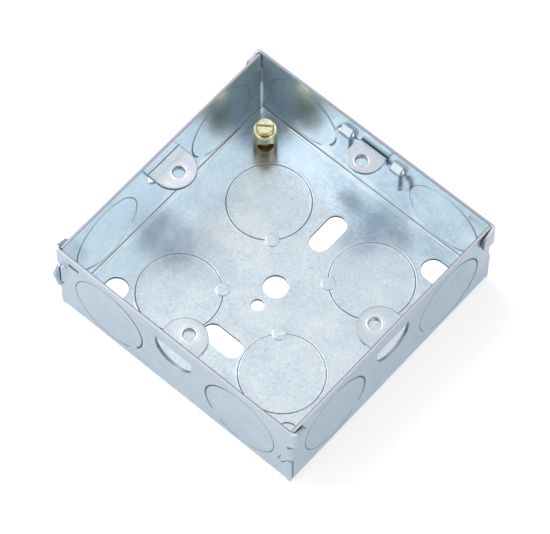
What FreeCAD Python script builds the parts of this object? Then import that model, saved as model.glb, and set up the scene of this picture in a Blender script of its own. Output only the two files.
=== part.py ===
import FreeCAD, Part
import math
import os

# A one-gang flush back box, folded from one galvanised steel sheet, with a sliding lug and a brass earth
# terminal. Millimetres. The origin is the middle of the back face, and +Z points out of the open mouth.
# Each wall is drawn at the -Y side, where u runs along the wall, n runs inwards from its outer face and z
# runs up, and is then turned to its own side of the box.

# Sheet and box
SIDE = 71.5               # over the outer faces of two opposite walls
DEPTH = 25.5              # from the back face to the rim
SHEET = 0.8
FOLD_R = 0.3              # inside radius of every fold
SEAM = 0.3                # gap between two walls that meet at a corner
END_CUT = 0.15            # how far an ear wall stops short of the box's corner
OPEN_SEAM = 0.5           # the same gap at the corner behind the earth terminal, which stands open

# Ears that wrap round the corners at the rim, on the front and back walls
EAR_HEIGHT = 6.2
EAR_LENGTH = 4.5
EAR_DROP = 1.2            # fall of the ear's upper edge towards its free end
EAR_CORNER_R = 1.5
WRAP_GAP = 0.25           # between an ear and the wall that it lies on
RELIEF_R = 0.75           # round relief between an ear and the tab below it
RELIEF_IN = 0.5           # from the corner to the middle of the relief

# Tabs that wrap round the corners at mid height, on the left and right walls
TAB_BELOW_EAR = 2.2
TAB_HEIGHT = 6.4          # of its root
TAB_LENGTH = 3.6
TAB_SLANT = 3.0           # how far the free end lies below the root
TAB_TIP_WIDTH = 0.8
TAB_GAP = 0.2             # cut round a tab and its root

# The left wall's front tab, which was never folded over: it stands straight out past the corner
FLAP_HEIGHT = 9.2         # hangs down from just below the ear
FLAP_REACH = 2.15         # past the front wall's outer face, where it reaches furthest
FLAP_NOSE_DOWN = 2.3      # from its upper edge to where it reaches furthest
FLAP_NOSE_R = 0.9
FLAP_TOP_REACH = 0.3
FLAP_LOW_REACH = 0.95
FLAP_CORNER_R = 0.3
LIP_OUT = 0.5             # how far the front wall's end is pressed out beside the flap
LIP_LENGTH = 1.9
LIP_BEND_R = 3.0
LIP_DOWN = 5.0            # from its upper edge to its lower end at the far side
LIP_SLOPE = 2.6           # how much lower it ends beside the flap

# Knockouts
KNOCKOUT_R = 10.4
KNOCKOUT_CUT = 0.12       # width of the sheared line round a knockout
BASE_KNOCKOUT = 16.2      # from the middle of the base, both ways
WALL_KNOCKOUT = 20.2      # from the middle of a wall with a fixed lug
STRAP_WALL_KNOCKOUT = 21.9
TIE_R = 1.7               # embossed tie that holds each knockout
TIE_RISE = 0.22

# Holes in the base
CENTRE_HOLE_R = 3.1
PILOT_HOLE_R = 1.6
PILOT_HOLE_Y = -6.5
FIX_SLOT_WIDTH = 5.2
FIX_SLOT_LENGTH = 11.2
FIX_SLOT_AT = 19.0        # from the middle of the base to the middle of the slot
CORNER_SLOT_WIDTH = 6.0
CORNER_SLOT_LENGTH = 9.2
CORNER_SLOT_IN = 4.35     # from a wall's outer face to the near end of the slot
CORNER_SLOT_OFF = 7.65    # from the other wall's outer face to its middle line
BLANK_R = 2.7             # blank for a second earth terminal
BLANK_DEPTH = 0.4

# Small slots near the rim of the front and back walls
RIM_SLOT_IN = 4.95        # from the box's corner
RIM_SLOT_DOWN = 3.1       # from the rim
RIM_SLOT_LENGTH = 3.3
RIM_SLOT_WIDTH = 1.2

# Lugs
LUG_HOLE_IN = 5.6         # from a wall's outer face; it puts opposite holes 60.3 apart
LUG_DOWN = 4.6            # from the rim to the upper face of a fixed lug
LUG_R = 5.5
LUG_NOSE = 4.0            # from the lug's hole to its free end
WINDOW_DROP = 7.9         # from the lug's upper face to the foot of the window that it leaves
WINDOW_GAP = 0.1
LUG_HOLE_R = 1.6
COLLAR_R = 2.3
COLLAR_LENGTH = 0.9

# Straps lanced inwards from the back wall, and the lug that slides behind them
STRAP_AT = 7.7
STRAP_WIDTH = 3.0
STRAP_DOWN = 3.3          # from the rim
STRAP_LENGTH = 10.8
STRAP_SLOPE = 1.9         # height of the sloping stretch at each end
STRAP_BEND_R = 0.6        # inside radius of the strap's bends
STRAP_SLIT = 0.1
SLIDE_GAP = 0.1           # on each face of the sliding plate
SLIDE_EDGE_GAP = 0.2      # above and below it
SLIDE_REST = 0.35         # where the sliding lug stands, off the middle of the wall
PLATE_HALF = 11.5
PLATE_CORNER_R = 1.6
SLIDE_LUG_DOWN = 3.6      # from the rim to its upper face
SLIDE_LUG_R = 4.45
SLIDE_LUG_NOSE = 3.1
SLIDE_LUG_RELIEF = 0.35   # the fold is narrower than the lug by this on each side

# Earth terminal
TERMINAL_IN = 8.75        # from the outer faces of both walls
PILLAR_R = 3.0
PILLAR_HEIGHT = 8.6
PILLAR_CHAMFER = 0.25
WIRE_HOLE_R = 2.0
WIRE_HOLE_HEIGHT = 4.4    # above the base's inner face
STAKE_R = 2.0
STAKE_GAP = 0.02
SCREW_R = 1.9
SCREW_GAP = 0.05
SCREW_SEAT = 0.3          # under the head, as the screw stands
SCREW_TIP_GAP = 0.35      # over the floor of its bore, as the screw stands
SCREW_TIP_CHAMFER = 0.3
HEAD_R = 2.2
HEAD_HEIGHT = 1.25
HEAD_EDGE = 0.2
DRIVE_WIDTH = 0.6
DRIVE_DEPTH = 0.7
DRIVE_ANGLE = 37.0        # of the drive slot, from +X

HALF = SIDE / 2
FOLD_OUT = FOLD_R + SHEET
INNER = HALF - FOLD_OUT   # where the level part of the base ends
EAR_LOW = DEPTH - EAR_HEIGHT
TAB_HIGH = EAR_LOW - TAB_BELOW_EAR
TAB_LOW = TAB_HIGH - TAB_HEIGHT
TAB_TIP = TAB_LOW - TAB_SLANT
FLAP_HIGH = EAR_LOW - TAB_GAP
FLAP_LOW = FLAP_HIGH - FLAP_HEIGHT
OPEN_TAB_LIFT = FLAP_HIGH - TAB_HIGH
TERMINAL_AT = HALF - TERMINAL_IN
LUG_TOP = DEPTH - LUG_DOWN
SLIDE_LUG_TOP = DEPTH - SLIDE_LUG_DOWN
STRAP_TOP = DEPTH - STRAP_DOWN
STRAP_LOW = STRAP_TOP - STRAP_LENGTH
STRAP_BACK = 2 * SHEET + 2 * SLIDE_GAP
STRAP_ANGLE = math.atan2(STRAP_BACK, STRAP_SLOPE)
STRAP_SHIFT = SHEET * math.tan(STRAP_ANGLE / 2)
STRAP_FLAT = STRAP_SLOPE + STRAP_SHIFT + STRAP_BEND_R * math.tan(STRAP_ANGLE / 2)
PLATE_LOW = STRAP_LOW + STRAP_FLAT + SLIDE_EDGE_GAP
PLATE_HIGH = STRAP_TOP - STRAP_FLAT - SLIDE_EDGE_GAP
PLATE_OUT = SHEET + SLIDE_GAP
PLATE_IN = STRAP_BACK - SLIDE_GAP
PILLAR_TOP = SHEET + PILLAR_HEIGHT
WIRE_HOLE_Z = SHEET + WIRE_HOLE_HEIGHT
THROUGH = 2 * SHEET       # how far a cutting tool runs past the sheet

ORIGIN = FreeCAD.Vector(0, 0, 0)
X = FreeCAD.Vector(1, 0, 0)
Y = FreeCAD.Vector(0, 1, 0)
Z = FreeCAD.Vector(0, 0, 1)
ACROSS = (Y, Z, X)        # drawn over n and z, and run along the wall
IN_WALL = (Z, X, Y)       # drawn over z and u, and run through the wall
LEVEL = (X, Y, Z)


def vec(x, y, z):
    return FreeCAD.Vector(x, y, z)


def box(x0, x1, y0, y1, z0, z1):
    return Part.makeBox(x1 - x0, y1 - y0, z1 - z0, vec(x0, y0, z0))


def upright(x, y, z0, z1, radius):
    return Part.makeCylinder(radius, z1 - z0, vec(x, y, z0))


def cone(x, y, z0, z1, low_radius, high_radius):
    return Part.makeCone(low_radius, high_radius, z1 - z0, vec(x, y, z0))


def placed(shape, move=ORIGIN, degrees=0, axis=Z):
    """A copy turned about an axis through the origin and then moved."""
    copy = shape.copy()
    copy.rotate(ORIGIN, axis, degrees)
    copy.translate(move)
    return copy


def mirrored(shape):
    return shape.mirror(ORIGIN, X)


def prism(corners, axes, start, stop):
    """A solid from corners (a, b, radius), drawn over two axes and run along the third."""
    first, second, third = axes
    points = [first * a + second * b + third * start for a, b, radius in corners]
    bends = []
    for index, (a, b, radius) in enumerate(corners):
        here = points[index]
        if radius <= 0:
            bends.append((here, None, here))
            continue
        back = (points[index - 1] - here).normalize()
        ahead = (points[(index + 1) % len(points)] - here).normalize()
        half_angle = back.getAngle(ahead) / 2
        reach = radius / math.tan(half_angle)
        depth = radius / math.sin(half_angle) - radius
        middle = (back + ahead).normalize()
        bends.append((here + back * reach, here + middle * depth, here + ahead * reach))
    edges = []
    for index, (begin, through, end) in enumerate(bends):
        if through is not None:
            edges.append(Part.Arc(begin, through, end).toShape())
        following = bends[(index + 1) % len(bends)][0]
        if (following - end).Length > 1e-6:
            edges.append(Part.LineSegment(end, following).toShape())
    return Part.Face(Part.Wire(edges)).extrude(third * (stop - start))


def obround(length, width):
    """A level slot tool on the origin, with its length along X."""
    a = length / 2
    b = width / 2
    corners = [(-a, -b, b), (a, -b, b), (a, b, b), (-a, b, b)]
    return prism(corners, LEVEL, -THROUGH, THROUGH)


def into_wall(shape, u, z):
    """Stand a level shape up in a wall: its top faces inwards and its +Y side faces down."""
    return placed(shape, vec(u, 0, z), -90, X)


def knockout_cut(angle):
    """The sheared line round a knockout in a level sheet on the origin, stopped at its tie."""
    outer = upright(0, 0, 0, SHEET, KNOCKOUT_R + KNOCKOUT_CUT / 2)
    inner = upright(0, 0, 0, SHEET, KNOCKOUT_R - KNOCKOUT_CUT / 2)
    tie = upright(KNOCKOUT_R, 0, 0, SHEET, TIE_R)
    return placed(outer.cut(inner).cut(tie), ORIGIN, angle)


def base():
    """The level part of the base with its knockouts, holes and slots."""
    plate = box(-INNER, INNER, -INNER, INNER, 0, SHEET)
    for x in (-BASE_KNOCKOUT, BASE_KNOCKOUT):
        for y in (-BASE_KNOCKOUT, BASE_KNOCKOUT):
            inward = math.degrees(math.atan2(-y, -x))
            tie = placed(upright(KNOCKOUT_R, 0, 0, SHEET + TIE_RISE, TIE_R), ORIGIN, inward)
            plate = plate.cut(placed(knockout_cut(inward), vec(x, y, 0)))
            plate = plate.fuse(placed(tie, vec(x, y, 0)))
    fixing = obround(FIX_SLOT_LENGTH, FIX_SLOT_WIDTH)
    corner = obround(CORNER_SLOT_LENGTH, CORNER_SLOT_WIDTH)
    corner_at = HALF - CORNER_SLOT_IN - CORNER_SLOT_LENGTH / 2
    corner_off = HALF - CORNER_SLOT_OFF
    tools = [
        upright(0, 0, -THROUGH, THROUGH, CENTRE_HOLE_R),
        upright(0, PILOT_HOLE_Y, -THROUGH, THROUGH, PILOT_HOLE_R),
        placed(fixing, vec(0, FIX_SLOT_AT, 0), 90),
        placed(fixing, vec(0, -FIX_SLOT_AT, 0)),
        placed(corner, vec(corner_at, corner_off, 0)),
        placed(corner, vec(-corner_off, -corner_at, 0), 90),
        upright(TERMINAL_AT, -TERMINAL_AT, SHEET - BLANK_DEPTH, THROUGH, BLANK_R),
        upright(-TERMINAL_AT, TERMINAL_AT, -THROUGH, THROUGH, STAKE_R + STAKE_GAP),
    ]
    for tool in tools:
        plate = plate.cut(tool)
    return plate


def folded_wall():
    """One wall with its fold, as wide as the level part of the base."""
    profile = [
        (0, DEPTH, 0), (0, 0, FOLD_OUT), (FOLD_OUT, 0, 0), (FOLD_OUT, SHEET, 0),
        (SHEET, SHEET, FOLD_R), (SHEET, DEPTH, 0),
    ]
    return prism(profile, ACROSS, -INNER, INNER)


def wrap(stand, corners, length, bend):
    """The band that carries a wall on round its +u corner, trimmed to an outline over n and z.

    The band stands this far outside the outer face of the wall next to it."""
    turn = HALF + stand + SHEET
    band = [
        (INNER - 1, 0, 0), (turn, 0, bend + SHEET), (turn, length + 1, 0),
        (turn - SHEET, length + 1, 0), (turn - SHEET, SHEET, bend), (INNER - 1, SHEET, 0),
    ]
    return prism(band, LEVEL, 0, DEPTH).common(prism(corners, ACROSS, INNER - 1, turn + 1))


def ear():
    far = EAR_LENGTH
    corners = [
        (-1, EAR_LOW, 0), (far, EAR_LOW, EAR_CORNER_R), (far, DEPTH - EAR_DROP, EAR_CORNER_R),
        (FOLD_OUT, DEPTH, 0), (-1, DEPTH, 0),
    ]
    return wrap(WRAP_GAP, corners, far, FOLD_R)


def tab_corners():
    """The outline of a slanted tab over n and z, root first."""
    far = TAB_LENGTH
    return [
        (-1, TAB_LOW, 0), (FOLD_OUT, TAB_LOW, 0), (far - TAB_TIP_WIDTH, TAB_TIP, 0),
        (far, TAB_TIP + TAB_TIP_WIDTH, 0), (FOLD_OUT, TAB_HIGH, 0), (-1, TAB_HIGH, 0),
    ]


def flush_tab():
    return wrap(-SHEET, tab_corners(), TAB_LENGTH, FOLD_R)


def tab_notch():
    """The notch that the tab of a wall's +u corner needs in the wall next to it."""
    start = HALF - SHEET - SEAM / 2
    outline = prism(tab_corners(), ACROSS, start, HALF)
    face = min(outline.Faces, key=lambda each: each.CenterOfMass.x)
    return face.makeOffset2D(TAB_GAP, 2).extrude(X * (2 * SHEET))


def flap():
    """The tab that stands straight out past the wall's +u corner."""
    nose = FLAP_HIGH - FLAP_NOSE_DOWN
    corners = [
        (FLAP_LOW, INNER - 1, 0), (FLAP_LOW, HALF + FLAP_LOW_REACH, FLAP_CORNER_R),
        (nose, HALF + FLAP_REACH, FLAP_NOSE_R), (FLAP_HIGH, HALF + FLAP_TOP_REACH, FLAP_CORNER_R),
        (FLAP_HIGH, INNER - 1, 0),
    ]
    return prism(corners, IN_WALL, 0, SHEET)


def flap_notch():
    """The notch that the flap needs in the end of the wall next to it."""
    start = HALF - SHEET - SEAM / 2
    return box(start, HALF + 1, -1, SHEET + TAB_GAP, FLAP_LOW - TAB_GAP, FLAP_HIGH + TAB_GAP)


def pressed_lip():
    """The end of the front wall beside the flap, pressed outwards in a soft curve."""
    near = TAB_GAP + SHEET - HALF
    far = near + LIP_LENGTH
    bend = near + LIP_LENGTH / 2
    plan = [
        (near, SHEET / 2, 0), (near, -LIP_OUT, 0), (bend, 0, LIP_BEND_R), (far, 0, 0), (far, SHEET / 2, 0),
    ]
    low = FLAP_HIGH - LIP_DOWN
    outline = [(low - LIP_SLOPE, near, 0), (FLAP_HIGH, near, 0), (FLAP_HIGH, far, 0), (low, far, 0)]
    return prism(plan, LEVEL, 0, DEPTH).common(prism(outline, IN_WALL, -1, SHEET))


def ear_wall(knockout_u):
    """The front or back wall: it runs to the corners and has an ear at each end."""
    wall = folded_wall()
    end = HALF - END_CUT
    beyond = box(INNER, end, 0, SHEET, FOLD_R, DEPTH)
    relief = upright(0, 0, -THROUGH, THROUGH, RELIEF_R)
    wall = wall.fuse(beyond).fuse(mirrored(beyond))
    wall = wall.fuse(ear()).fuse(mirrored(ear()))
    relief_z = TAB_HIGH + TAB_GAP + RELIEF_R / 2
    for u in (RELIEF_IN - HALF, HALF - RELIEF_IN):
        wall = wall.cut(into_wall(relief, u, relief_z))
    wall = wall_knockouts(wall, knockout_u)
    slot = obround(RIM_SLOT_LENGTH, RIM_SLOT_WIDTH)
    return wall.cut(into_wall(slot, RIM_SLOT_IN - HALF, DEPTH - RIM_SLOT_DOWN))


def tab_wall(right_tab, left_tab):
    """The right or left wall: it stops inside the corners and has a tab at each end."""
    wall = folded_wall()
    strip = box(INNER - 1, HALF - SHEET - SEAM, 0, SHEET, FOLD_OUT, DEPTH)
    wall = wall.fuse(strip).fuse(mirrored(strip))
    wall = wall.fuse(right_tab).fuse(mirrored(left_tab))
    return wall_knockouts(wall, WALL_KNOCKOUT)


def open_seam(wall):
    """Open the seam at the wall's -u corner wider, up to the root of its tab."""
    end = HALF - SHEET - OPEN_SEAM
    return wall.cut(box(-HALF, -end, -1, SHEET + 1, FOLD_OUT, TAB_LOW + OPEN_TAB_LIFT - TAB_GAP))


def wall_knockouts(wall, knockout_u):
    for u, angle in ((knockout_u, 135), (-knockout_u, 45)):
        wall = wall.cut(into_wall(knockout_cut(angle), u, DEPTH / 2))
    return wall


def lug_hole(shape, top, u):
    """Draw a collar down from a lug and cut its hole."""
    under = top - SHEET
    low = under - COLLAR_LENGTH
    collar = upright(u, LUG_HOLE_IN, low, under + SHEET / 2, COLLAR_R)
    bore = upright(u, LUG_HOLE_IN, low - 1, top + 1, LUG_HOLE_R)
    return shape.fuse(collar).cut(bore)


def with_lug(wall):
    """Cut a lug out of the wall and fold it inwards, leaving its window open below it."""
    half = LUG_R + WINDOW_GAP
    fold_top = LUG_TOP + FOLD_R
    foot = LUG_TOP - WINDOW_DROP
    window = [(foot, -half, half), (fold_top, -half, 0), (fold_top, half, 0), (foot, half, half)]
    wall = wall.cut(prism(window, IN_WALL, -THROUGH, THROUGH))
    nose = LUG_HOLE_IN + LUG_NOSE
    profile = [
        (0, fold_top, 0), (0, LUG_TOP - SHEET, FOLD_OUT), (nose, LUG_TOP - SHEET, 0),
        (nose, LUG_TOP, 0), (SHEET, LUG_TOP, FOLD_R), (SHEET, fold_top, 0),
    ]
    plan = [(-LUG_R, -1, 0), (LUG_R, -1, 0), (LUG_R, nose, LUG_R), (-LUG_R, nose, LUG_R)]
    lug = prism(profile, ACROSS, -LUG_R, LUG_R).common(prism(plan, LEVEL, 0, DEPTH))
    return wall.fuse(lug_hole(lug, LUG_TOP, 0))


def with_strap(wall, u):
    """Lance a strap out of the wall, far enough for the sliding plate to pass behind it."""
    front = STRAP_BACK + SHEET
    inside = STRAP_BEND_R
    outside = STRAP_BEND_R + SHEET
    low = STRAP_LOW
    top = STRAP_TOP
    profile = [
        (0, low - 1, 0), (SHEET, low - 1, 0), (SHEET, low, inside),
        (front, low + STRAP_SLOPE, outside), (front, top - STRAP_SLOPE, outside),
        (SHEET, top, inside), (SHEET, top + 1, 0), (0, top + 1, 0),
        (0, top - STRAP_SHIFT, outside), (STRAP_BACK, top - STRAP_SLOPE - STRAP_SHIFT, inside),
        (STRAP_BACK, low + STRAP_SLOPE + STRAP_SHIFT, inside), (0, low + STRAP_SHIFT, outside),
    ]
    half = STRAP_WIDTH / 2
    slit = half + STRAP_SLIT
    wall = wall.cut(box(u - slit, u + slit, -1, SHEET + 1, low, top))
    return wall.fuse(prism(profile, ACROSS, u - half, u + half))


def on_side(wall, degrees):
    return placed(placed(wall, vec(0, -HALF, 0)), ORIGIN, degrees)


def box_shell():
    """The folded sheet: base, four walls, lugs, straps, ears and tabs."""
    lift = Z * OPEN_TAB_LIFT
    right = on_side(with_lug(tab_wall(flush_tab(), flush_tab())), 90)
    left = on_side(with_lug(open_seam(tab_wall(flap(), placed(flush_tab(), lift)))), 270)
    front = on_side(with_lug(ear_wall(WALL_KNOCKOUT)).fuse(pressed_lip()), 0)
    back = ear_wall(STRAP_WALL_KNOCKOUT)
    for u in (-STRAP_AT, STRAP_AT):
        back = with_strap(back, u)
    back = on_side(back, 180)
    notch = tab_notch()
    front = front.cut(on_side(mirrored(notch), 90)).cut(on_side(flap_notch(), 270))
    back = back.cut(on_side(notch, 90)).cut(on_side(placed(mirrored(notch), lift), 270))
    return base().fuse(front).fuse(back).fuse(right).fuse(left).removeSplitter()


def adjustable_lug():
    """The lug that slides behind the straps: a plate with a narrower riser folded into a D."""
    plate = [
        (PLATE_LOW, -PLATE_HALF, PLATE_CORNER_R), (PLATE_HIGH, -PLATE_HALF, PLATE_CORNER_R),
        (PLATE_HIGH, PLATE_HALF, PLATE_CORNER_R), (PLATE_LOW, PLATE_HALF, PLATE_CORNER_R),
    ]
    body = prism(plate, IN_WALL, PLATE_OUT, PLATE_IN)
    top = SLIDE_LUG_TOP
    nose = LUG_HOLE_IN + SLIDE_LUG_NOSE
    inner = PLATE_IN
    profile = [
        (PLATE_OUT, PLATE_LOW + PLATE_CORNER_R, 0), (inner, PLATE_LOW + PLATE_CORNER_R, 0),
        (inner, top - SHEET, FOLD_R), (nose, top - SHEET, 0), (nose, top, 0), (PLATE_OUT, top, FOLD_OUT),
    ]
    wide = SLIDE_LUG_R
    narrow = wide - SLIDE_LUG_RELIEF
    relief_end = PLATE_OUT + FOLD_OUT + SLIDE_LUG_RELIEF
    plan = [
        (-narrow, 0, 0), (narrow, 0, 0), (narrow, relief_end, 0), (wide, relief_end, 0),
        (wide, nose, wide), (-wide, nose, wide), (-wide, relief_end, 0), (-narrow, relief_end, 0),
    ]
    riser = prism(profile, ACROSS, -wide, wide).common(prism(plan, LEVEL, 0, DEPTH))
    lug = lug_hole(body.fuse(riser), top, 0).removeSplitter()
    return on_side(placed(lug, vec(-SLIDE_REST, 0, 0)), 180)


def earth_pillar():
    """The turned pillar, staked into the base, with its wire hole and screw bore."""
    x = -TERMINAL_AT
    y = TERMINAL_AT
    edge = PILLAR_TOP - PILLAR_CHAMFER
    pillar = upright(x, y, SHEET, edge, PILLAR_R)
    pillar = pillar.fuse(cone(x, y, edge, PILLAR_TOP, PILLAR_R, PILLAR_R - PILLAR_CHAMFER))
    pillar = pillar.fuse(upright(x, y, 0, SHEET, STAKE_R))
    wire = Part.makeCylinder(WIRE_HOLE_R, 4 * PILLAR_R, ORIGIN, X)
    wire = placed(placed(wire, vec(-2 * PILLAR_R, 0, 0)), vec(x, y, WIRE_HOLE_Z), -45)
    bore = upright(x, y, WIRE_HOLE_Z - WIRE_HOLE_R, PILLAR_TOP + 1, SCREW_R + SCREW_GAP)
    return pillar.cut(wire).cut(bore).removeSplitter()


def earth_screw():
    """The cheese-headed screw of the terminal, standing a little short of its seat."""
    x = -TERMINAL_AT
    y = TERMINAL_AT
    tip = WIRE_HOLE_Z - WIRE_HOLE_R + SCREW_TIP_GAP
    seat = PILLAR_TOP + SCREW_SEAT
    head_top = seat + HEAD_HEIGHT
    shank = upright(x, y, tip + SCREW_TIP_CHAMFER, seat, SCREW_R)
    point = cone(x, y, tip, tip + SCREW_TIP_CHAMFER, SCREW_R - SCREW_TIP_CHAMFER, SCREW_R)
    edge = head_top - HEAD_EDGE
    head = upright(x, y, seat, edge, HEAD_R).fuse(cone(x, y, edge, head_top, HEAD_R, HEAD_R - HEAD_EDGE))
    drive = box(-2 * HEAD_R, 2 * HEAD_R, -DRIVE_WIDTH / 2, DRIVE_WIDTH / 2, 0, HEAD_HEIGHT)
    drive = placed(drive, vec(x, y, head_top - DRIVE_DEPTH), DRIVE_ANGLE)
    return shank.fuse(point).fuse(head).cut(drive).removeSplitter()


def main():
    os.makedirs("parts", exist_ok=True)
    nodes = {
        "box_shell": box_shell(),
        "adjustable_lug": adjustable_lug(),
        "earth_pillar": earth_pillar(),
        "earth_screw": earth_screw(),
    }
    for name, shape in nodes.items():
        solid = shape.Solids[0] if len(shape.Solids) == 1 else shape
        solid.exportStep("parts/" + name + ".step")


main()
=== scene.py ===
import math

import bpy
from mathutils import Matrix, Vector


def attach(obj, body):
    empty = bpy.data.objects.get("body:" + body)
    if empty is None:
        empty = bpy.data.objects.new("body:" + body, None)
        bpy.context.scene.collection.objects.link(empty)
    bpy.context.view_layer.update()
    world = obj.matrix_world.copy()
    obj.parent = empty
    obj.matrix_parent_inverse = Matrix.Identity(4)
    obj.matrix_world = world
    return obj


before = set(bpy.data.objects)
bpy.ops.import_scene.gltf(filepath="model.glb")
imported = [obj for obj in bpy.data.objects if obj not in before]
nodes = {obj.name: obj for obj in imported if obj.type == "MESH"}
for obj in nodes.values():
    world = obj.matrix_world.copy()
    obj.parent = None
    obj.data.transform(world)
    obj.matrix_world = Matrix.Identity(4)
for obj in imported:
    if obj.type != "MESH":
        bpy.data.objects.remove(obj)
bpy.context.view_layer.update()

MM = 0.001
scene = bpy.context.scene
scene.view_settings.view_transform = "Standard"

# Sizes of the box that the pieces and the materials here follow, in millimetres. The middle of the base is
# at 0, 0, and the back wall, which carries the sliding lug, is at +Y.
HALF = 35.75
DEPTH = 25.5
SHEET = 0.8
INNER = HALF - SHEET
EAR_OUT = 0.25
KNOCKOUT_R = 10.4
BASE_KNOCKOUT = 16.2
WALL_KNOCKOUT = 20.2
STRAP_WALL_KNOCKOUT = 21.9
TIE_R = 1.7
LUG_TOP = DEPTH - 4.6
LUG_R = 5.5
LUG_NOSE_IN = 9.6
LUG_HOLE_IN = 5.6
LUG_HOLE_R = 1.6
SLIDE_LUG_TOP = DEPTH - 3.6
SLIDE_REST = 0.35
COLLAR_LENGTH = 0.9
RIM_SLOT = (28.9, 32.7)
TERMINAL_AT = HALF - 8.75
PILLAR_BORE_R = 2.92
PILLAR_BORE_TOP = 9.0
SCREW_R = 1.9
SCREW_LOW = 3.9
SCREW_HIGH = 9.6
CORNER_SLOT_R = 3.0
FIX_SLOT_R = 2.6
BASE_SLOTS = (
    ((-3.0, -19.0), (3.0, -19.0), FIX_SLOT_R),
    ((0.0, 16.0), (0.0, 22.0), FIX_SLOT_R),
    ((25.2, 28.1), (28.4, 28.1), CORNER_SLOT_R),
    ((-28.1, -28.4), (-28.1, -25.2), CORNER_SLOT_R),
)

# Camera, fitted to the photograph
AZIMUTH = math.radians(40.852)
ELEVATION = math.radians(62.354)
ROLL = math.radians(0.354)
DISTANCE = 871.745 * MM
FOCAL_PX = 3667.67
IMAGE_WIDTH_PX = 550
SENSOR_WIDTH = 36
TARGET = Vector((-3.845 * MM, 4.175 * MM, 0))

back = Vector((
    math.sin(AZIMUTH) * math.cos(ELEVATION),
    -math.cos(AZIMUTH) * math.cos(ELEVATION),
    math.sin(ELEVATION),
))
level = Vector((math.cos(AZIMUTH), math.sin(AZIMUTH), 0))
upward = back.cross(level)
right = level * math.cos(ROLL) + upward * math.sin(ROLL)
up = upward * math.cos(ROLL) - level * math.sin(ROLL)

camera_data = bpy.data.cameras.new("camera")
camera_data.sensor_width = SENSOR_WIDTH
camera_data.lens = FOCAL_PX * SENSOR_WIDTH / IMAGE_WIDTH_PX
camera_data.clip_start = 0.01
camera = bpy.data.objects.new("camera", camera_data)
scene.collection.objects.link(camera)
turn = Matrix((right, up, back)).transposed().to_4x4()
camera.matrix_world = Matrix.Translation(TARGET + back * DISTANCE) @ turn
scene.camera = camera


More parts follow.
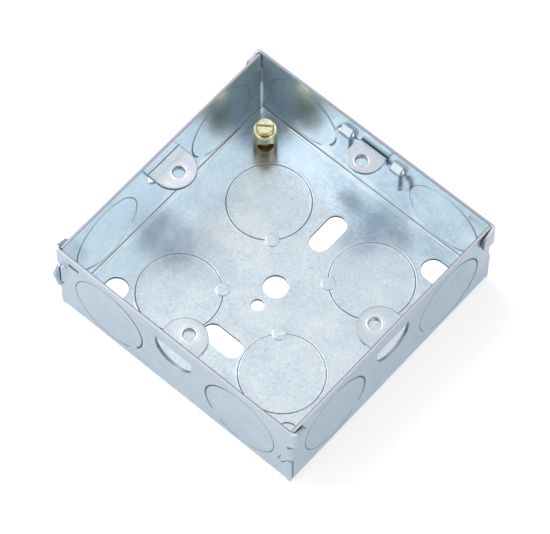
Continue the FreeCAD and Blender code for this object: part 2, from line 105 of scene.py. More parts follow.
class Graph:
    """Makes the nodes of one material or world. Its lengths are in millimetres."""

    def __init__(self, tree):
        self.tree = tree
        tree.nodes.clear()

    def add(self, kind, **settings):
        node = self.tree.nodes.new(kind)
        for key, value in settings.items():
            setattr(node, key, value)
        return node

    def put(self, socket, value):
        if isinstance(value, bpy.types.NodeSocket):
            self.tree.links.new(value, socket)
        else:
            socket.default_value = value

    def math(self, operation, a, b=0.0, clamp=False):
        node = self.add("ShaderNodeMath", operation=operation, use_clamp=clamp)
        self.put(node.inputs[0], a)
        self.put(node.inputs[1], b)
        return node.outputs[0]

    def plus(self, a, b):
        return self.math("ADD", a, b)

    def minus(self, a, b, clamp=False):
        return self.math("SUBTRACT", a, b, clamp)

    def times(self, first, *others):
        for other in others:
            first = self.math("MULTIPLY", first, other)
        return first

    def larger(self, a, b):
        return self.math("MAXIMUM", a, b)

    def smaller(self, a, b):
        return self.math("MINIMUM", a, b)

    def size(self, value):
        return self.math("ABSOLUTE", value)

    def above(self, value, limit):
        return self.math("GREATER_THAN", value, limit)

    def below(self, value, limit):
        return self.math("LESS_THAN", value, limit)

    def between(self, value, low, high):
        """1 where the value lies between two limits."""
        return self.times(self.above(value, low), self.below(value, high))

    def length(self, a, b):
        """The length of a line that goes a one way and b the other."""
        return self.math("SQRT", self.plus(self.times(a, a), self.times(b, b)))

    def fall(self, value, start, end):
        """A smooth change from 0 at start to 1 at end."""
        node = self.add("ShaderNodeMapRange", interpolation_type="SMOOTHSTEP")
        self.put(node.inputs["Value"], value)
        node.inputs["From Min"].default_value = start
        node.inputs["From Max"].default_value = end
        return node.outputs["Result"]

    def blend(self, share, a, b):
        """A number that goes from a to b with the share."""
        return self.plus(self.times(share, self.minus(b, a)), a)

    def coordinates(self, kind):
        return self.add("ShaderNodeTexCoord").outputs[kind]

    def split(self, vector):
        node = self.add("ShaderNodeSeparateXYZ")
        self.put(node.inputs[0], vector)
        return node.outputs

    def point(self):
        """The place of the shaded point on the object."""
        return [self.times(part, 1 / MM) for part in self.split(self.coordinates("Object"))]

    def noise(self, size, detail, rough, distortion=0.0, stretch=(1, 1, 1)):
        mapping = self.add("ShaderNodeMapping")
        mapping.inputs["Scale"].default_value = stretch
        self.put(mapping.inputs["Vector"], self.coordinates("Object"))
        node = self.add("ShaderNodeTexNoise")
        node.inputs["Scale"].default_value = 1 / (size * MM)
        node.inputs["Detail"].default_value = detail
        node.inputs["Roughness"].default_value = rough
        node.inputs["Distortion"].default_value = distortion
        self.put(node.inputs["Vector"], mapping.outputs[0])
        return node.outputs["Fac"]

    def ramp(self, value, stops):
        """Greys or colours along a value."""
        node = self.add("ShaderNodeValToRGB")
        elements = node.color_ramp.elements
        while len(elements) < len(stops):
            elements.new(0.5)
        for element, (at, shade) in zip(elements, stops):
            element.position = at
            element.color = (*(shade if isinstance(shade, tuple) else (shade,) * 3), 1)
        self.put(node.inputs[0], value)
        return node.outputs[0]

    def mix(self, share, a, b, kind="MIX"):
        node = self.add("ShaderNodeMix", data_type="RGBA", blend_type=kind)
        self.put(node.inputs[0], share)
        self.put(node.inputs[6], a if isinstance(a, bpy.types.NodeSocket) else (*a, 1))
        self.put(node.inputs[7], b if isinstance(b, bpy.types.NodeSocket) else (*b, 1))
        return node.outputs[2]

    def coats(self, colour, *coats):
        """Lay coats over a colour: each has a mask, its strength and its own colour."""
        for mask, strength, shade in coats:
            colour = self.mix(self.times(mask, strength), colour, shade)
        return colour

    def patch(self, centre, radius, wobble):
        """1 inside a soft blot round a point, falling to 0 at its wobbling edge."""
        gap = self.add("ShaderNodeVectorMath", operation="SUBTRACT")
        self.put(gap.inputs[0], self.coordinates("Object"))
        gap.inputs[1].default_value = [value * MM for value in centre]
        scaled = self.add("ShaderNodeVectorMath", operation="DIVIDE")
        self.put(scaled.inputs[0], gap.outputs[0])
        scaled.inputs[1].default_value = [value * MM for value in radius]
        length = self.add("ShaderNodeVectorMath", operation="LENGTH")
        self.put(length.inputs[0], scaled.outputs[0])
        waver = self.times(self.minus(wobble, 0.5), 1.2)
        return self.fall(self.plus(length.outputs["Value"], waver), 1.0, 0.2)

    def crevice(self, reach):
        """1 on open surface, falling to 0 in the depth of a narrow gap."""
        node = self.add("ShaderNodeAmbientOcclusion", samples=8)
        node.inputs["Distance"].default_value = reach * MM
        return self.fall(node.outputs["AO"], 0.10, 0.62)

    def bump(self, height, strength, distance, normal=None):
        node = self.add("ShaderNodeBump")
        node.inputs["Strength"].default_value = strength
        node.inputs["Distance"].default_value = distance * MM
        self.put(node.inputs["Height"], height)
        if normal is not None:
            self.put(node.inputs["Normal"], normal)
        return node.outputs[0]

    def rounded(self, radius):
        """The surface direction as if every edge were rounded by this radius."""
        node = self.add("ShaderNodeBevel", samples=6)
        node.inputs["Radius"].default_value = radius * MM
        return node.outputs[0]

    def finish(self, **inputs):
        shader = self.add("ShaderNodeBsdfPrincipled")
        for key, value in inputs.items():
            self.put(shader.inputs[key.replace("_", " ")], value)
        self.output("ShaderNodeOutputMaterial", shader)

    def output(self, kind, shader):
        self.put(self.add(kind).inputs["Surface"], shader.outputs[0])


def material(name):
    """A new material and its graph."""
    made = bpy.data.materials.new(name)
    made.use_nodes = True
    return made, Graph(made.node_tree)


def dress(node, made):
    """Give a CAD node its material."""
    mesh = nodes[node].data
    if not mesh.materials:
        mesh.materials.append(made)
    for slot in nodes[node].material_slots:
        slot.material = made


class Spot:
    """The shaded point of the folded sheet: its place, how far out it is, and how its surface faces."""

    def __init__(self, g):
        self.x, self.y, self.z = g.point()
        self.x_size = g.size(self.x)
        self.y_size = g.size(self.y)
        self.out = g.larger(self.x_size, self.y_size)
        self.aside = g.smaller(self.x_size, self.y_size)
        normal = g.split(g.coordinates("Normal"))
        self.up = normal[2]
        self.along_x, self.along_y, self.along_z = [g.size(part) for part in normal]


# Limits of the zinc's masks, in millimetres
MASK_GAP = 0.02                 # how far a mask of the sheet's edge keeps inside its two faces
EAR_BEND = 1.15                 # in from the corner
CORNER = 2.5
NEAR_WALL = 2.0                 # in from a wall's inner face: the holes lie further in
LUG_ROOT = 3.0
LUG_BEND = 0.4
BELOW_RIM = DEPTH - 1.6         # the rim slots lie below this height
OVER_BASE = SHEET + 0.5         # no knockout of the base reaches this height
OVER_FIXED_LUGS = LUG_TOP + 0.5
BASE_FACE = (SHEET - 0.1, SHEET + 0.15)
INNER_FACE = (INNER - 0.12, INNER + 0.05)
LUG_FACES = (LUG_TOP - 0.05, SLIDE_LUG_TOP + 0.1)

# Limits of how far a surface faces in a direction, from 0 to 1
FACING = 0.7
ACROSS = 0.5
STEEP = 0.3

# Soft masks of the zinc: where each starts and where it is full, in millimetres
LINE_FADE = (0.24, 0.10)        # from a shear line
LINE_HIGHLIGHT_FADE = (0.36, 0.16)
OPENED_FADE = (-2, 8)           # along a wall, from a knockout's centre
CLOSED_FADE = (3, -9)           # across the base, from a knockout's centre
RIM_INNER_LINE_FADE = (0.34, 0.16)        # out from a wall's inner face
FOLD_HIGHLIGHT_FADE = (1.7, 0.7)          # in from a wall's inner face
BASE_FOLD_SHADE_FADE = (2.6, 1.2)     # up from the floor
LUG_FOLD_SHADE_FADE = (0.9, 0.5)      # up from a lug's top
SWELL_HIGHLIGHT_FADE = (3.3, 1.9)         # out from the middle of a lug's hole
OUTLINE_SHADE_FADE = (0.42, 0.12)     # in from a lug's edge

# Shear lines, from where they are plain to where they are opened or closed
OPENED_WIDTH = (1.0, 1.5)
WALL_LINE_DEPTH = (0.8, 2.5)
BASE_LINE_DEPTH = (1.0, 0.15)


def cut_edges(g, spot):
    """Masks of cut edges: the level, the upright and the base's ones, a dark line along the rim's inner
    edge, and the rim slots.
    """
    facing = g.blend(g.above(spot.x_size, spot.y_size), spot.along_y, spot.along_x)
    in_wall = g.between(spot.out, INNER + MASK_GAP, HALF - MASK_GAP)
    in_ear = g.between(spot.x_size, HALF + EAR_OUT + MASK_GAP, HALF + EAR_OUT + SHEET - MASK_GAP)
    in_ear = g.times(in_ear, g.below(spot.y_size, HALF - EAR_BEND))
    sheet = g.times(g.larger(in_wall, in_ear), g.below(facing, ACROSS))
    level_edge = g.times(sheet, g.above(spot.along_z, ACROSS))
    steep = g.below(spot.along_z, STEEP)
    base_edge = g.times(g.between(spot.z, MASK_GAP, SHEET - MASK_GAP), steep)
    lug_edge = g.times(g.between(spot.z, LUG_TOP - SHEET, SLIDE_LUG_TOP - MASK_GAP), steep)
    lug_edge = g.times(lug_edge, g.below(spot.out, INNER - LUG_ROOT))
    inside = g.below(spot.out, INNER - NEAR_WALL)
    seam = g.above(spot.aside, HALF - CORNER)
    upright_edge = g.minus(g.minus(sheet, level_edge), seam, True)
    upright_edge = g.larger(g.times(inside, g.larger(base_edge, lug_edge)), upright_edge)
    # A dark line painted along the inner edge of each rim top.
    rim_inner_line = g.fall(g.minus(spot.out, INNER), *RIM_INNER_LINE_FADE)
    rim_inner_line = g.times(rim_inner_line, level_edge, g.above(spot.z, BELOW_RIM))
    rim_slot = g.times(g.between(spot.aside, *RIM_SLOT), level_edge, g.below(spot.z, BELOW_RIM))
    return level_edge, upright_edge, g.times(inside, base_edge), rim_inner_line, rim_slot


def knockout_line(g, spot):
    """The line round each knockout, but for its tie: where it is open and dark, and where it is closed,
    with a painted highlight.
    """
    strap_side = g.above(spot.y, 0.0)
    on_base = g.above(spot.along_z, FACING)
    on_wall = g.minus(1.0, on_base)
    on_y_wall = g.above(spot.along_y, FACING)
    y_wall_at = g.blend(strap_side, WALL_KNOCKOUT, STRAP_WALL_KNOCKOUT)
    centre = g.blend(on_base, g.blend(on_y_wall, WALL_KNOCKOUT, y_wall_at), BASE_KNOCKOUT)
    along = g.minus(g.blend(g.larger(on_base, on_y_wall), spot.y_size, spot.x_size), centre)
    across = g.blend(on_base, g.minus(spot.z, DEPTH / 2), g.minus(spot.y_size, BASE_KNOCKOUT))
    off = g.size(g.minus(g.length(along, across), KNOCKOUT_R))

    # On the walls the line gapes on one side
    left_or_right = g.math("SIGN", spot.x)
    x_wall_way = g.times(left_or_right, g.math("SIGN", spot.y))
    way = g.blend(on_y_wall, x_wall_way, g.blend(strap_side, -1.0, left_or_right))
    opened = g.times(g.fall(g.times(along, way), *OPENED_FADE), on_wall)

    # On the base it closes on the side that faces the back left corner
    x_off = g.minus(spot.x, g.times(g.math("SIGN", spot.x), BASE_KNOCKOUT))
    y_off = g.minus(spot.y, g.times(g.math("SIGN", spot.y), BASE_KNOCKOUT))
    closed = g.times(on_base, g.fall(g.minus(x_off, y_off), *CLOSED_FADE))

    tie_in = KNOCKOUT_R / math.sqrt(2)
    to_tie = g.length(g.plus(along, tie_in), g.plus(across, tie_in))
    over_base = g.times(on_base, g.above(spot.z, OVER_BASE))
    line = g.fall(g.math("DIVIDE", off, g.blend(opened, *OPENED_WIDTH)), *LINE_FADE)
    line = g.times(line, g.above(to_tie, TIE_R), g.minus(1.0, over_base))
    depth = g.blend(on_base, g.blend(opened, *WALL_LINE_DEPTH), g.blend(closed, *BASE_LINE_DEPTH))
    # Painted highlight along the closed side of the line.
    line_highlight = g.times(g.fall(off, *LINE_HIGHLIGHT_FADE), g.minus(closed, over_base, True))
    return g.times(line, depth), line_highlight


def fold_bands(g, spot):
    """Masks inside the walls: a painted highlight band on the base beside them, painted shade at the folds,
    the whole inner face.
    """
    # Painted highlight band on the base beside the walls.
    fold_highlight = g.times(g.fall(g.minus(INNER, spot.out), *FOLD_HIGHLIGHT_FADE), g.between(spot.z, *BASE_FACE))
    inner_face = g.between(spot.out, *INNER_FACE)
    # Painted shade on the walls' feet, up from the floor.
    base_fold_shade = g.times(g.fall(spot.z, *BASE_FOLD_SHADE_FADE), inner_face, g.above(spot.z, SHEET))
    # Painted shade on the wall just over each fixed lug.
    lug_fold_shade = g.times(g.fall(g.minus(spot.z, LUG_TOP), *LUG_FOLD_SHADE_FADE), g.above(spot.z, LUG_TOP))
    on_back_wall = g.above(spot.y, HALF - NEAR_WALL)
    lug_fold_shade = g.times(lug_fold_shade, inner_face, g.below(spot.aside, LUG_R + 0.1), g.minus(1.0, on_back_wall))
    return fold_highlight, base_fold_shade, lug_fold_shade, inner_face


def lug_tops(g, spot):
    """Masks of the lugs: their level tops, a painted highlight on the raised ring round each hole, and
    painted shade along the edge of the fixed ones' tops.
    """
    top = g.times(g.above(spot.up, FACING), g.between(spot.z, *LUG_FACES))
    top = g.times(top, g.below(spot.out, INNER - LUG_BEND))
    inwards = g.minus(HALF, spot.out)
    # Painted highlight on the raised ring round each hole.
    swell_highlight = g.fall(g.length(spot.aside, g.minus(inwards, LUG_HOLE_IN)), *SWELL_HIGHLIGHT_FADE)
    to_nose = g.larger(g.minus(inwards, LUG_NOSE_IN - LUG_R), 0.0)
    # Painted shade along the edge of each fixed lug's top.
    outline_shade = g.fall(g.minus(LUG_R, g.length(spot.aside, to_nose)), *OUTLINE_SHADE_FADE)
    return top, g.times(top, swell_highlight), g.times(top, outline_shade, g.below(spot.z, OVER_FIXED_LUGS))


def zinc(name, softened):
    """Galvanised sheet, with its cut edges, shear lines, folds and lugs, and with light and shade painted
    in at many of them. Softened edges look rounded.
    """
    made, g = material(name)
    spot = Spot(g)
    cloud = g.noise(9, detail=4, rough=0.6, distortion=0.6)
    grain = g.noise(1.1, detail=5, rough=0.7)
    fine = g.noise(0.35, detail=3, rough=0.6)
    tone = g.plus(g.plus(g.times(cloud, 0.33), g.times(grain, 0.24)), g.times(fine, 0.43))
    colour = g.ramp(tone, [
        (0.38, (0.55, 0.655, 0.75)),
        (0.5, (0.66, 0.743, 0.812)),
        (0.62, (0.75, 0.81, 0.855)),
    ])

    wobble = g.noise(5, detail=5, rough=0.65, distortion=0.8)
    # A dark blot painted on the base under the sliding lug: painted shade of the lug.
    under_lug_shade = g.patch((5.0, 29.5, SHEET), (12, 5, 4), wobble)
    specks = g.ramp(g.noise(0.45, detail=2, rough=0.5), [(0.64, 0.0), (0.71, 1.0)])
    grit = g.ramp(g.noise(0.24, detail=2, rough=0.6), [(0.58, 0.0), (0.70, 1.0)])
    line, line_highlight = knockout_line(g, spot)
    colour = g.coats(
        colour,
        (under_lug_shade, 0.36, (0.40, 0.50, 0.58)),
        (specks, 0.55, (0.28, 0.36, 0.42)),
        (grit, 0.35, (0.34, 0.42, 0.48)),
        # painted highlight along the closed side of each knockout line
        (line_highlight, 0.5, (0.88, 0.92, 0.95)),
        (line, 0.38, (0.11, 0.15, 0.20)),
    )

    fold_highlight, base_fold_shade, lug_fold_shade, inner_face = fold_bands(g, spot)
    # Painted light: the walls' inner faces are painted lighter.
    colour = g.mix(inner_face, colour, (1.06, 1.10, 1.08), "MULTIPLY")
    colour = g.coats(
        colour,
        # painted highlight band on the base along the folds
        (fold_highlight, 0.6, (0.86, 0.90, 0.93)),
        # painted shade on the walls' feet above the folds
        (base_fold_shade, 0.55, (0.26, 0.34, 0.38)),
        # painted shade on the wall just over each fixed lug
        (lug_fold_shade, 0.6, (0.16, 0.22, 0.26)),
    )

    # Painted light: the lug tops are painted lighter, paler still on the far half, at the left and the
    # back, and the sliding lug has a tone of its own; the cut edges and the rim slots get lit and shaded
    # copies of their colours on the far and near halves.
    far = g.above(g.minus(spot.y, spot.x), 0.0)
    slides = g.above(spot.z, OVER_FIXED_LUGS)
    top, swell_highlight, outline_shade = lug_tops(g, spot)
    lug_top_tone_and_light = g.mix(slides, g.mix(far, (0.54, 0.60, 0.67), (0.68, 0.70, 0.76)), (0.58, 0.61, 0.68))
    level_edge, upright_edge, base_edge, rim_inner_line, rim_slot = cut_edges(g, spot)
    colour = g.coats(
        colour,
        # lug tops painted lighter, with the sliding lug's own tone
        (top, g.blend(slides, 0.4, 0.5), lug_top_tone_and_light),
        # painted highlight round each lug's hole
        (swell_highlight, g.blend(slides, 0.45, 0.15), (0.88, 0.88, 0.92)),
        # painted shade along the edge of each fixed lug's top
        (outline_shade, 0.6, (0.30, 0.36, 0.41)),
        # cut steel's grey, in a lighter copy on the near half and a darker one on the far half, as painted
        # light and shade
        (level_edge, 1.0, g.mix(far, (0.49, 0.52, 0.57), (0.40, 0.42, 0.47))),
        # dark line painted along the inner edge of each rim top
        (rim_inner_line, 0.7, (0.12, 0.11, 0.14)),
        # rim slots: painted shade on the near half, painted light on the far half
        (rim_slot, 1.0, g.mix(far, (0.24, 0.28, 0.38), (0.66, 0.72, 0.82))),
        (upright_edge, 1.0, (0.34, 0.33, 0.37)),
        # painted shade on the walls of the base's holes, slots and shear lines
        (base_edge, 1.0, (0.13, 0.14, 0.17)),
    )
    # Painted shade: darker in narrow gaps and creases.
    colour = g.mix(g.crevice(0.45), (0.16, 0.18, 0.22), colour)

    sheen = g.ramp(g.plus(g.times(cloud, 0.5), g.times(grain, 0.5)), [(0.3, 0.19), (0.7, 0.28)])
    rough = g.blend(g.larger(level_edge, upright_edge), sheen, 0.5)
    surface = g.rounded(0.18) if softened else None
    texture = g.plus(g.times(fine, 0.6), grain)
    waves = g.noise(14, detail=2, rough=0.5)
    normal = g.bump(texture, strength=0.15, distance=0.04, normal=surface)
    normal = g.bump(waves, strength=0.30, distance=0.4, normal=normal)
    g.finish(Base_Color=colour, Metallic=0.80, Roughness=rough, Normal=normal)
    return made


def sheared():
    """Torn steel in the bottom of the shear lines."""
    made, g = material("sheared_steel")
    grain = g.noise(0.3, detail=3, rough=0.6)
    colour = g.ramp(grain, [(0.3, (0.16, 0.19, 0.22)), (0.7, (0.26, 0.30, 0.34))])
    # Painted shade deep in the shear lines.
    colour = g.mix(g.crevice(0.3), (0.05, 0.055, 0.065), colour)
    normal = g.bump(grain, strength=0.3, distance=0.05)
    g.finish(Base_Color=colour, Metallic=0.6, Roughness=0.6, Normal=normal)
    return made


DARKER_DOWN_FADE = (8.5, 3.0)       # from the terminal's head down


def brass(name, hollow):
    """Turned brass, darker towards its foot. A hollow piece is dull inside its bores, and shade is painted
    into them.
    """
    made, g = material(name)
    grooves = g.noise(0.6, detail=4, rough=0.6, stretch=(1, 1, 6))
    colour = g.ramp(grooves, [(0.3, (0.84, 0.73, 0.45)), (0.7, (0.99, 0.94, 0.70))])
    x, y, z = g.point()
    # Darker towards the foot.
    colour = g.mix(g.fall(z, *DARKER_DOWN_FADE), colour, (0.42, 0.34, 0.20))
    rough = 0.26
    if hollow:
        off_axis = g.length(g.plus(x, TERMINAL_AT), g.minus(y, TERMINAL_AT))
        # Painted shade inside the pillar's bore, which is also made duller there.
        dull_shaded_bore = g.times(g.below(off_axis, PILLAR_BORE_R), g.below(z, PILLAR_BORE_TOP))
        colour = g.mix(dull_shaded_bore, colour, (0.34, 0.25, 0.14))
        rough = g.blend(dull_shaded_bore, rough, 0.5)
    # Painted shade in narrow gaps.
    colour = g.mix(g.crevice(0.5), (0.12, 0.08, 0.04), colour)
    normal = g.bump(grooves, strength=0.2, distance=0.04, normal=g.rounded(0.12))
    g.finish(Base_Color=colour, Metallic=1.0, Roughness=rough, Normal=normal)
    return made


zinc_material = zinc("galvanised_zinc", True)
rolled_material = zinc("rolled_zinc", False)
sheared_material = sheared()
pillar_material = brass("turned_brass", True)
screw_material = brass("turned_brass_screw", False)
dress("box_shell", zinc_material)
dress("adjustable_lug", zinc_material)
dress("earth_pillar", pillar_material)
dress("earth_screw", screw_material)


class Skin:
    """One smooth mesh of closed bands, drawn in millimetres."""

    def __init__(self):
        self.points = []
        self.faces = []

    def band(self, rows, matrix, ring):
        """Join closed sections into a band: round in a ring, or open with a cap at each end."""
        width = len(rows[0])
        start = len(self.points)
        for row in rows:
            self.points.extend(matrix @ Vector(point) for point in row)
        count = len(rows) if ring else len(rows) - 1
        for i in range(count):
            here = start + i * width
            ahead = start + (i + 1) % len(rows) * width
            for j in range(width):
                k = (j + 1) % width
                self.faces.append((here + j, here + k, ahead + k, ahead + j))
        if not ring:
            last = start + (len(rows) - 1) * width
            self.faces.append(tuple(start + j for j in reversed(range(width))))
            self.faces.append(tuple(last + j for j in range(width)))

    def make(self, name, body, made):
        mesh = bpy.data.meshes.new(name)
        mesh.from_pydata([point * MM for point in self.points], [], self.faces)
        mesh.polygons.foreach_set("use_smooth", [True] * len(mesh.polygons))
        mesh.materials.append(made)
        piece = bpy.data.objects.new(name, mesh)
        scene.collection.objects.link(piece)
        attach(piece, body)


def turned(skin, profile, matrix, steps, start=0.0, stop=360.0, shape=None):
    """Turn a closed section of (radius, height) about Z. A shape may change its points on the way round."""
    whole = stop - start >= 360
    rows = []
    for i in range(steps + (0 if whole else 1)):
        share = i / steps
        angle = math.radians(start + (stop - start) * share)
        section = [shape(r, h, angle, share) for r, h in profile] if shape else profile
        rows.append([(r * math.cos(angle), r * math.sin(angle), h) for r, h in section])
    skin.band(rows, matrix, whole)


def disc(skin, profile, matrix, steps):
    """A solid of revolution from its top rim down: the profile's first and last points get flat faces."""
    start = len(skin.points)
    skin.points.append(matrix @ Vector((0, 0, profile[0][1])))
    for r, h in profile:
        for i in range(steps):
            angle = 2 * math.pi * i / steps
            skin.points.append(matrix @ Vector((r * math.cos(angle), r * math.sin(angle), h)))
    end = len(skin.points)
    skin.points.append(matrix @ Vector((0, 0, profile[-1][1])))
    for i in range(steps):
        j = (i + 1) % steps
        skin.faces.append((start, start + 1 + i, start + 1 + j))
        for row in range(len(profile) - 1):
            here = start + 1 + row * steps
            skin.faces.append((here + i, here + steps + i, here + steps + j, here + j))
        last = end - steps
        skin.faces.append((end, last + j, last + i))


THREAD_STEPS = 40           # to a turn
THREAD_RUN_OUT = 12         # steps over which a thread grows at its ends


def helix(skin, matrix, root, crest, low, high, pitch):
    """A thread's ridge wound up the inside or the outside of a cylinder."""
    turns = (high - low) / pitch - 1
    count = int(turns * THREAD_STEPS)
    sunk = root + (root - crest) * 0.5
    rows = []
    for i in range(count + 1):
        angle = 2 * math.pi * i / THREAD_STEPS
        z = low + pitch * i / THREAD_STEPS
        grown = min(1.0, i / THREAD_RUN_OUT, (count - i) / THREAD_RUN_OUT)
        tip = root + (crest - root) * grown
        section = ((sunk, 0.02), (root, 0.06), (tip, 0.44), (tip, 0.56), (root, 0.94), (sunk, 0.98))
        rows.append([(r * math.cos(angle), r * math.sin(angle), z + pitch * share) for r, share in section])
    skin.band(rows, matrix, False)


WALL_TURNS = {"front": 0, "right": 90, "back": 180, "left": 270}
INTO_WALL = Matrix.Rotation(math.radians(-90), 4, "X")
TO_LINE = Matrix.Translation((KNOCKOUT_R, 0, 0))
TO_FAR_FACE = Matrix.Translation((0, 0, -SHEET)) @ Matrix.Rotation(math.radians(180), 4, "X")


def wall_place(wall, u, n, z):
    """The place of a point in a wall: u runs along it, n inwards from its outer face, z up."""
    return Matrix.Rotation(math.radians(WALL_TURNS[wall]), 4, "Z") @ Matrix.Translation((u, n - HALF, z))


def knockouts():
    """Where each knockout lies: its sheet's inner face, and the angle of its tie."""
    found = {"base": []}
    for x in (-BASE_KNOCKOUT, BASE_KNOCKOUT):
        for y in (-BASE_KNOCKOUT, BASE_KNOCKOUT):
            angle = math.degrees(math.atan2(-y, -x))
            found["base"].append((Matrix.Translation((x, y, SHEET)), angle))
    for wall in WALL_TURNS:
        at = STRAP_WALL_KNOCKOUT if wall == "back" else WALL_KNOCKOUT
        found[wall] = [
            (wall_place(wall, at, SHEET, DEPTH / 2) @ INTO_WALL, 135),
            (wall_place(wall, -at, SHEET, DEPTH / 2) @ INTO_WALL, 45),
        ]
    return found


# The side on which each shear line is nearly closed, in degrees round the knockout, and how far the torn
# steel rises there
CLOSED_SIDE = {
    "base": (135, 135, 135, 135),
    "front": (-45, 180),
    "right": (180, 180),
    "back": (0, 0),
    "left": (180, 180),
}
CLOSED_LIFT = 0.26
TIE_HALF_ANGLE = math.degrees(TIE_R / KNOCKOUT_R) + 0.6

# A rolled edge beside a shear line: how far it reaches, how near it starts, and the share of its way over
# which each end sinks, and how deep
EDGE_REACH = 1.0
STRAP_WALL_EDGE_REACH = 0.6
EDGE_NEAR = 0.062
END_SHARE = 0.05
END_DEPTH = 0.07

# Sections of (radius, height), in millimetres. The radii of the first two start at the shear line.
ROLLED_EDGE = (
    (EDGE_REACH, -0.08), (EDGE_REACH, -0.012), (0.85, -0.006), (0.7, 0.0), (0.55, 0.005), (0.4, 0.010),
    (0.28, 0.013), (0.17, 0.010), (0.075, 0.002), (EDGE_NEAR, -0.08),
)
TORN_STEEL = ((-0.07, -0.1), (0.07, -0.1), (0.07, 0.1), (-0.07, 0.1))
TIE_CAP = (
    (1.0, 0.228), (1.55, 0.227), (1.65, 0.222), (1.71, 0.205), (1.735, 0.17), (1.74, 0.10), (1.74, -0.05),
)
TIE_WELT = ((1.42, -0.03), (1.55, 0.006), (1.66, 0.014), (1.76, 0.012), (1.88, 0.002), (2.0, -0.03))
LUG_ENTRY = (
    (2.05, -0.05), (2.0, 0.0), (1.88, 0.012), (1.76, 0.005), (1.66, -0.025), (1.60, -0.08), (1.57, -0.18),
    (1.7, -0.18),
)
LINE_STEPS = 96
TIE_STEPS = 32
LUG_ENTRY_STEPS = 64
FLUSH_FACES = ("base", "back")      # no edge stands out on the far side of these


def room_round(x, y):
    """How far a point of the base lies from the nearest slot."""
    gaps = []
    for (ax, ay), (bx, by), radius in BASE_SLOTS:
        dx, dy = bx - ax, by - ay
        share = ((x - ax) * dx + (y - ay) * dy) / (dx ** 2 + dy ** 2)
        share = min(1.0, max(0.0, share))
        gaps.append(math.hypot(x - ax - share * dx, y - ay - share * dy) - radius)
    return min(gaps)


def edge_shape(outside, centre, widest):
    """Narrows a rolled edge beside a slot, and sinks it away at its ends."""
    def shape(r, h, angle, share):
        width = widest
        if outside and centre is not None:
            x = centre[0] + KNOCKOUT_R * math.cos(angle)
            y = centre[1] + KNOCKOUT_R * math.sin(angle)
            width = min(width, 0.8 * room_round(x, y))
        narrow = min(1.0, width / EDGE_REACH)
        sink = max(0.0, 1 - min(share, 1 - share) / END_SHARE) ** 2 * END_DEPTH
        reach = EDGE_NEAR + (r - EDGE_NEAR) * narrow
        return (KNOCKOUT_R + reach if outside else KNOCKOUT_R - reach), h - sink
    return shape


def closing(side):
    """Lifts the torn steel near the surface on the side where a shear line is nearly closed."""
    def shape(r, h, angle, share):
        facing = math.cos(angle - math.radians(side))
        return r, h + CLOSED_LIFT * min(1.0, max(0.0, facing + 0.2))
    return shape


def knockout_edges():
    """The rolled edges and ties of the knockouts, and the torn steel in the bottom of each shear line."""
    torn = Skin()
    torn_section = [(KNOCKOUT_R + r, h - SHEET / 2) for r, h in TORN_STEEL]
    for sheet, places in knockouts().items():
        skin = Skin()
        for (matrix, tie), side in zip(places, CLOSED_SIDE[sheet]):
            start = tie + TIE_HALF_ANGLE
            stop = tie + 360 - TIE_HALF_ANGLE
            centre = tuple(matrix.translation)[:2] if sheet == "base" else None
            widest = STRAP_WALL_EDGE_REACH if sheet == "back" else EDGE_REACH
            faces = [(matrix, start, stop)]
            if sheet not in FLUSH_FACES:
                faces.append((matrix @ TO_FAR_FACE, -stop, -start))
            outside = edge_shape(True, centre, widest)
            inside = edge_shape(False, None, widest)
            for face, first, last in faces:
                turned(skin, ROLLED_EDGE, face, LINE_STEPS, first, last, outside)
                turned(skin, ROLLED_EDGE[::-1], face, LINE_STEPS, first, last, inside)
            turned(torn, torn_section, matrix, LINE_STEPS, start, stop, closing(side))
            at_tie = matrix @ Matrix.Rotation(math.radians(tie), 4, "Z") @ TO_LINE
            if sheet == "base":
                disc(skin, TIE_CAP, at_tie, TIE_STEPS)
            else:
                turned(skin, TIE_WELT, at_tie, TIE_STEPS)
                if sheet not in FLUSH_FACES:
                    turned(skin, TIE_WELT, at_tie @ TO_FAR_FACE, TIE_STEPS)
        skin.make("knockout_edges_" + sheet, "box", rolled_material)
    torn.make("knockout_shear_lines", "box", sheared_material)


LUG_THREAD_PITCH = 0.6
LUG_THREAD_CREST = 1.42
SCREW_THREAD_PITCH = 0.7


def lug_threads():
    """The rolled entry and the thread of each lug's hole."""
    for wall, body in (("front", "box"), ("right", "box"), ("left", "box"), ("back", "sliding_lug")):
        fixed = wall != "back"
        along, top = (0, LUG_TOP) if fixed else (-SLIDE_REST, SLIDE_LUG_TOP)
        matrix = wall_place(wall, along, LUG_HOLE_IN, top)
        skin = Skin()
        turned(skin, LUG_ENTRY, matrix, LUG_ENTRY_STEPS)
        low = -SHEET - COLLAR_LENGTH + 0.03
        helix(skin, matrix, LUG_HOLE_R, LUG_THREAD_CREST, low, -0.08, LUG_THREAD_PITCH)
        skin.make("lug_thread_" + wall, body, rolled_material)


def screw_thread():
    """The earth screw's thread."""
    skin = Skin()
    matrix = Matrix.Translation((-TERMINAL_AT, TERMINAL_AT, 0))
    helix(skin, matrix, SCREW_R - 0.005, SCREW_R + 0.04, SCREW_LOW, SCREW_HIGH, SCREW_THREAD_PITCH)
    skin.make("earth_screw_thread", "clamp_screw", screw_material)


knockout_edges()
lug_threads()
screw_thread()


# Stage: the floor, the dark room behind the camera, the sky and the lamps, in metres
FLOOR_SIZE = 6.0
FLOOR_TOP = -0.05 * MM
FLOOR_FADE = (HALF - 3, HALF)       # from under the box to beside it, in millimetres
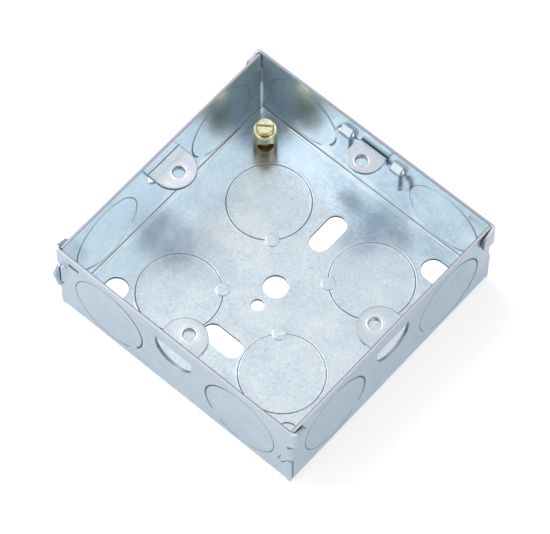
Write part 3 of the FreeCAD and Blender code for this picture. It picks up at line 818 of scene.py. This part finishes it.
# Under the box the floor glows stronger, both seen and reflected, which paints out the box's shadow there.
FLOOR_SEEN = (0.95, 0.50)           # the floor's glow, under the box and beside it
FLOOR_REFLECTED = (0.55, 0.44)
ROOM_SIZE = 0.84
ROOM_DISTANCE = 1.05
ROOM_COLOUR = (0.26, 0.29, 0.32)
SKY = [(0.05, 0.30), (0.35, 0.44), (0.68, 0.84), (0.82, 0.88)]      # its brightness by height
WINDOW_EAST = (0.0, 0.26)           # where the window starts and is full, from -1 to 1
WINDOW_NORTH = (-0.12, 0.22)
WINDOW_UP = (0.55, 0.80)
WINDOW_BRIGHTNESS = 1.95            # times the sky's
SKY_ON_MATT = 0.75


def flat(name, size, centre, facing):
    """A square sheet of the stage."""
    half = size / 2
    corners = [(-half, -half, 0), (half, -half, 0), (half, half, 0), (-half, half, 0)]
    mesh = bpy.data.meshes.new(name)
    mesh.from_pydata(corners, [], [(0, 1, 2, 3)])
    made = bpy.data.objects.new(name, mesh)
    scene.collection.objects.link(made)
    made.matrix_world = Matrix.Translation(centre) @ facing.to_track_quat("Z", "Y").to_matrix().to_4x4()
    return made


def seen(g):
    """1 for what the camera sees itself, and 1 for what it sees in a reflection."""
    rays = g.add("ShaderNodeLightPath").outputs
    return rays["Is Camera Ray"], g.larger(rays["Is Glossy Ray"], rays["Is Transmission Ray"])


def make_floor():
    """A pale floor that keeps the box's shadow beside the box, and glows stronger under the box, which
    paints out its shadow there. The metal sees it cooler and darker than the camera.
    """
    floor = flat("floor", FLOOR_SIZE, Vector((0, 0, FLOOR_TOP)), Vector((0, 0, 1)))
    made, g = material("floor_white")
    camera_ray, glossy_ray = seen(g)
    x, y = g.point()[:2]
    outside = g.fall(g.larger(g.size(x), g.size(y)), *FLOOR_FADE)
    diffuse = g.add("ShaderNodeBsdfDiffuse")
    g.put(diffuse.inputs["Color"], g.mix(camera_ray, (0.42, 0.42, 0.42), (0.78, 0.78, 0.78)))
    glow = g.add("ShaderNodeEmission")
    g.put(glow.inputs["Color"], g.mix(camera_ray, (0.92, 1.01, 1.14), (1.0, 1.0, 1.0)))
    to_camera = g.times(camera_ray, g.blend(outside, *FLOOR_SEEN))
    to_gloss = g.times(glossy_ray, g.blend(outside, *FLOOR_REFLECTED))
    g.put(glow.inputs["Strength"], g.plus(to_camera, to_gloss))
    both = g.add("ShaderNodeAddShader")
    g.put(both.inputs[0], diffuse.outputs[0])
    g.put(both.inputs[1], glow.outputs[0])
    g.output("ShaderNodeOutputMaterial", both)
    floor.data.materials.append(made)


def make_room():
    """A dark patch behind the camera, which only reflections see."""
    room = flat("dark_room", ROOM_SIZE, TARGET + back * ROOM_DISTANCE, -back)
    room.visible_camera = False
    room.visible_diffuse = False
    room.visible_shadow = False
    made, g = material("dark_room")
    shade = g.add("ShaderNodeEmission")
    shade.inputs["Color"].default_value = (*ROOM_COLOUR, 1)
    shade.inputs["Strength"].default_value = 1.0
    g.output("ShaderNodeOutputMaterial", shade)
    room.data.materials.append(made)


def make_sky():
    """A sky that brightens upwards, with one window in it. The camera sees it white."""
    world = bpy.data.worlds.new("world")
    world.use_nodes = True
    scene.world = world
    g = Graph(world.node_tree)
    background = g.add("ShaderNodeBackground")
    background.inputs["Color"].default_value = (1, 1, 1, 1)
    camera_ray, glossy_ray = seen(g)
    east, north, height = g.split(g.coordinates("Generated"))
    window = g.times(g.fall(east, *WINDOW_EAST), g.fall(north, *WINDOW_NORTH), g.fall(height, *WINDOW_UP))
    sky = g.times(g.ramp(height, SKY), g.blend(window, 1.0, WINDOW_BRIGHTNESS))
    sky = g.times(sky, g.blend(glossy_ray, SKY_ON_MATT, 1.0))
    g.put(background.inputs["Strength"], g.larger(camera_ray, sky))
    g.output("ShaderNodeOutputWorld", background)


def lamp(name, place, size, watts):
    """A round lamp that shines on the box."""
    data = bpy.data.lights.new(name, "AREA")
    data.shape = "DISK"
    data.size = size
    data.energy = watts
    made = bpy.data.objects.new(name, data)
    scene.collection.objects.link(made)
    spot = Vector(place)
    made.matrix_world = Matrix.Translation(spot) @ spot.to_track_quat("Z", "Y").to_matrix().to_4x4()


make_floor()
make_room()
make_sky()
lamp("key", (-0.75, -0.10, 0.85), size=1.0, watts=9.0)
lamp("front", (-0.333, -0.964, 0.453), size=0.7, watts=1.0)
